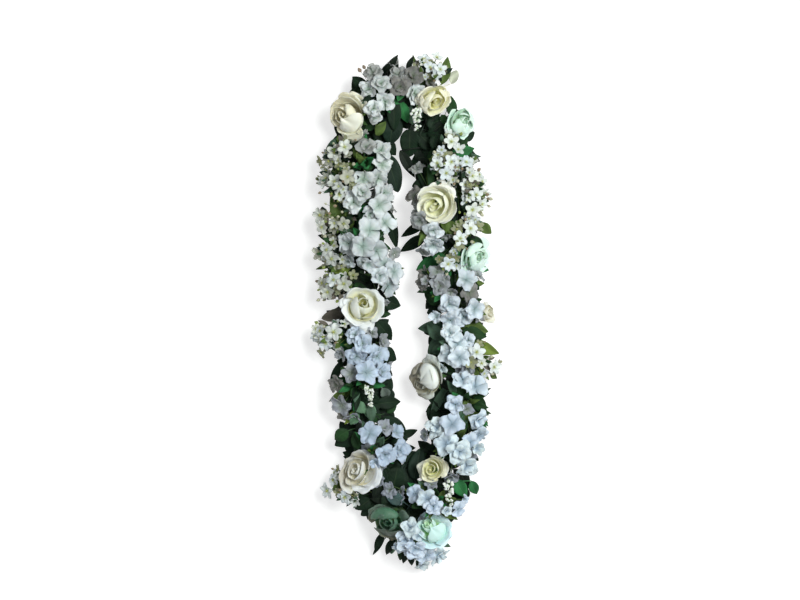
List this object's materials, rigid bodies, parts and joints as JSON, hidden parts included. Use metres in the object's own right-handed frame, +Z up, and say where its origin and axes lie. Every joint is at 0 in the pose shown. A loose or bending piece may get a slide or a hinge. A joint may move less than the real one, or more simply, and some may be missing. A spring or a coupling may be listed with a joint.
{
  "type": "fresh flower lei",
  "caption": "Long closed flower lei of cream roses, white hydrangea, star flowers and mixed green foliage bound on a cord, laid on its back.",
  "frame": {"origin": "middle of the footprint, on the surface the lei lies on", "axes": "+Y along the loop's length towards its upper end as worn, +Z up out of the surface, towards the face seen when worn"},
  "size_m": [0.1902, 0.5254, 0.0697],
  "materials": {
    "cord_tape": "matte, wound stem tape",
    "rose_cream": "soft satin petal",
    "rose_mint": "soft satin petal",
    "hydrangea_white": "matte thin petal",
    "star_white": "matte thin petal",
    "bell_white": "waxy small bells",
    "leaf_green": "satin leaf"
  },
  "bodies": {
    "root": {"cord": "cord_tape", "rose_01": "rose_cream", "rose_02": "rose_cream", "rose_03": "rose_mint", "rose_04": "rose_cream", "rose_05": "rose_mint", "rose_06": "rose_cream", "rose_07": "rose_cream", "rose_08": "rose_cream", "rose_09": "rose_cream", "rose_10": "rose_cream", "rose_11": "rose_mint", "rose_12": "rose_mint", "hydrangea_01": "hydrangea_white", "hydrangea_02": "hydrangea_white", "hydrangea_03": "hydrangea_white", "hydrangea_04": "hydrangea_white", "hydrangea_05": "hydrangea_white", "hydrangea_06": "hydrangea_white", "hydrangea_07": "hydrangea_white", "hydrangea_08": "hydrangea_white", "hydrangea_09": "hydrangea_white", "hydrangea_10": "hydrangea_white", "hydrangea_11": "hydrangea_white", "hydrangea_12": "hydrangea_white", "hydrangea_13": "hydrangea_white", "hydrangea_14": "hydrangea_white", "hydrangea_15": "hydrangea_white", "hydrangea_16": "hydrangea_white", "hydrangea_17": "hydrangea_white", "star_spray_01": "star_white", "star_spray_02": "star_white", "star_spray_03": "star_white", "star_spray_04": "star_white", "star_spray_05": "star_white", "star_spray_06": "star_white", "star_spray_07": "star_white", "star_spray_08": "star_white", "star_spray_09": "star_white", "star_spray_10": "star_white", "star_spray_11": "star_white", "star_spray_12": "star_white", "bead_spray_01": "bell_white", "bead_spray_02": "bell_white", "bead_spray_03": "bell_white", "foliage_01": "leaf_green", "foliage_02": "leaf_green", "foliage_03": "leaf_green", "foliage_04": "leaf_green", "foliage_05": "leaf_green", "foliage_06": "leaf_green", "foliage_07": "leaf_green", "foliage_08": "leaf_green", "foliage_09": "leaf_green", "foliage_10": "leaf_green", "foliage_11": "leaf_green", "foliage_12": "leaf_green", "foliage_13": "leaf_green", "foliage_14": "leaf_green", "foliage_15": "leaf_green"}
  },
  "joints": []
}
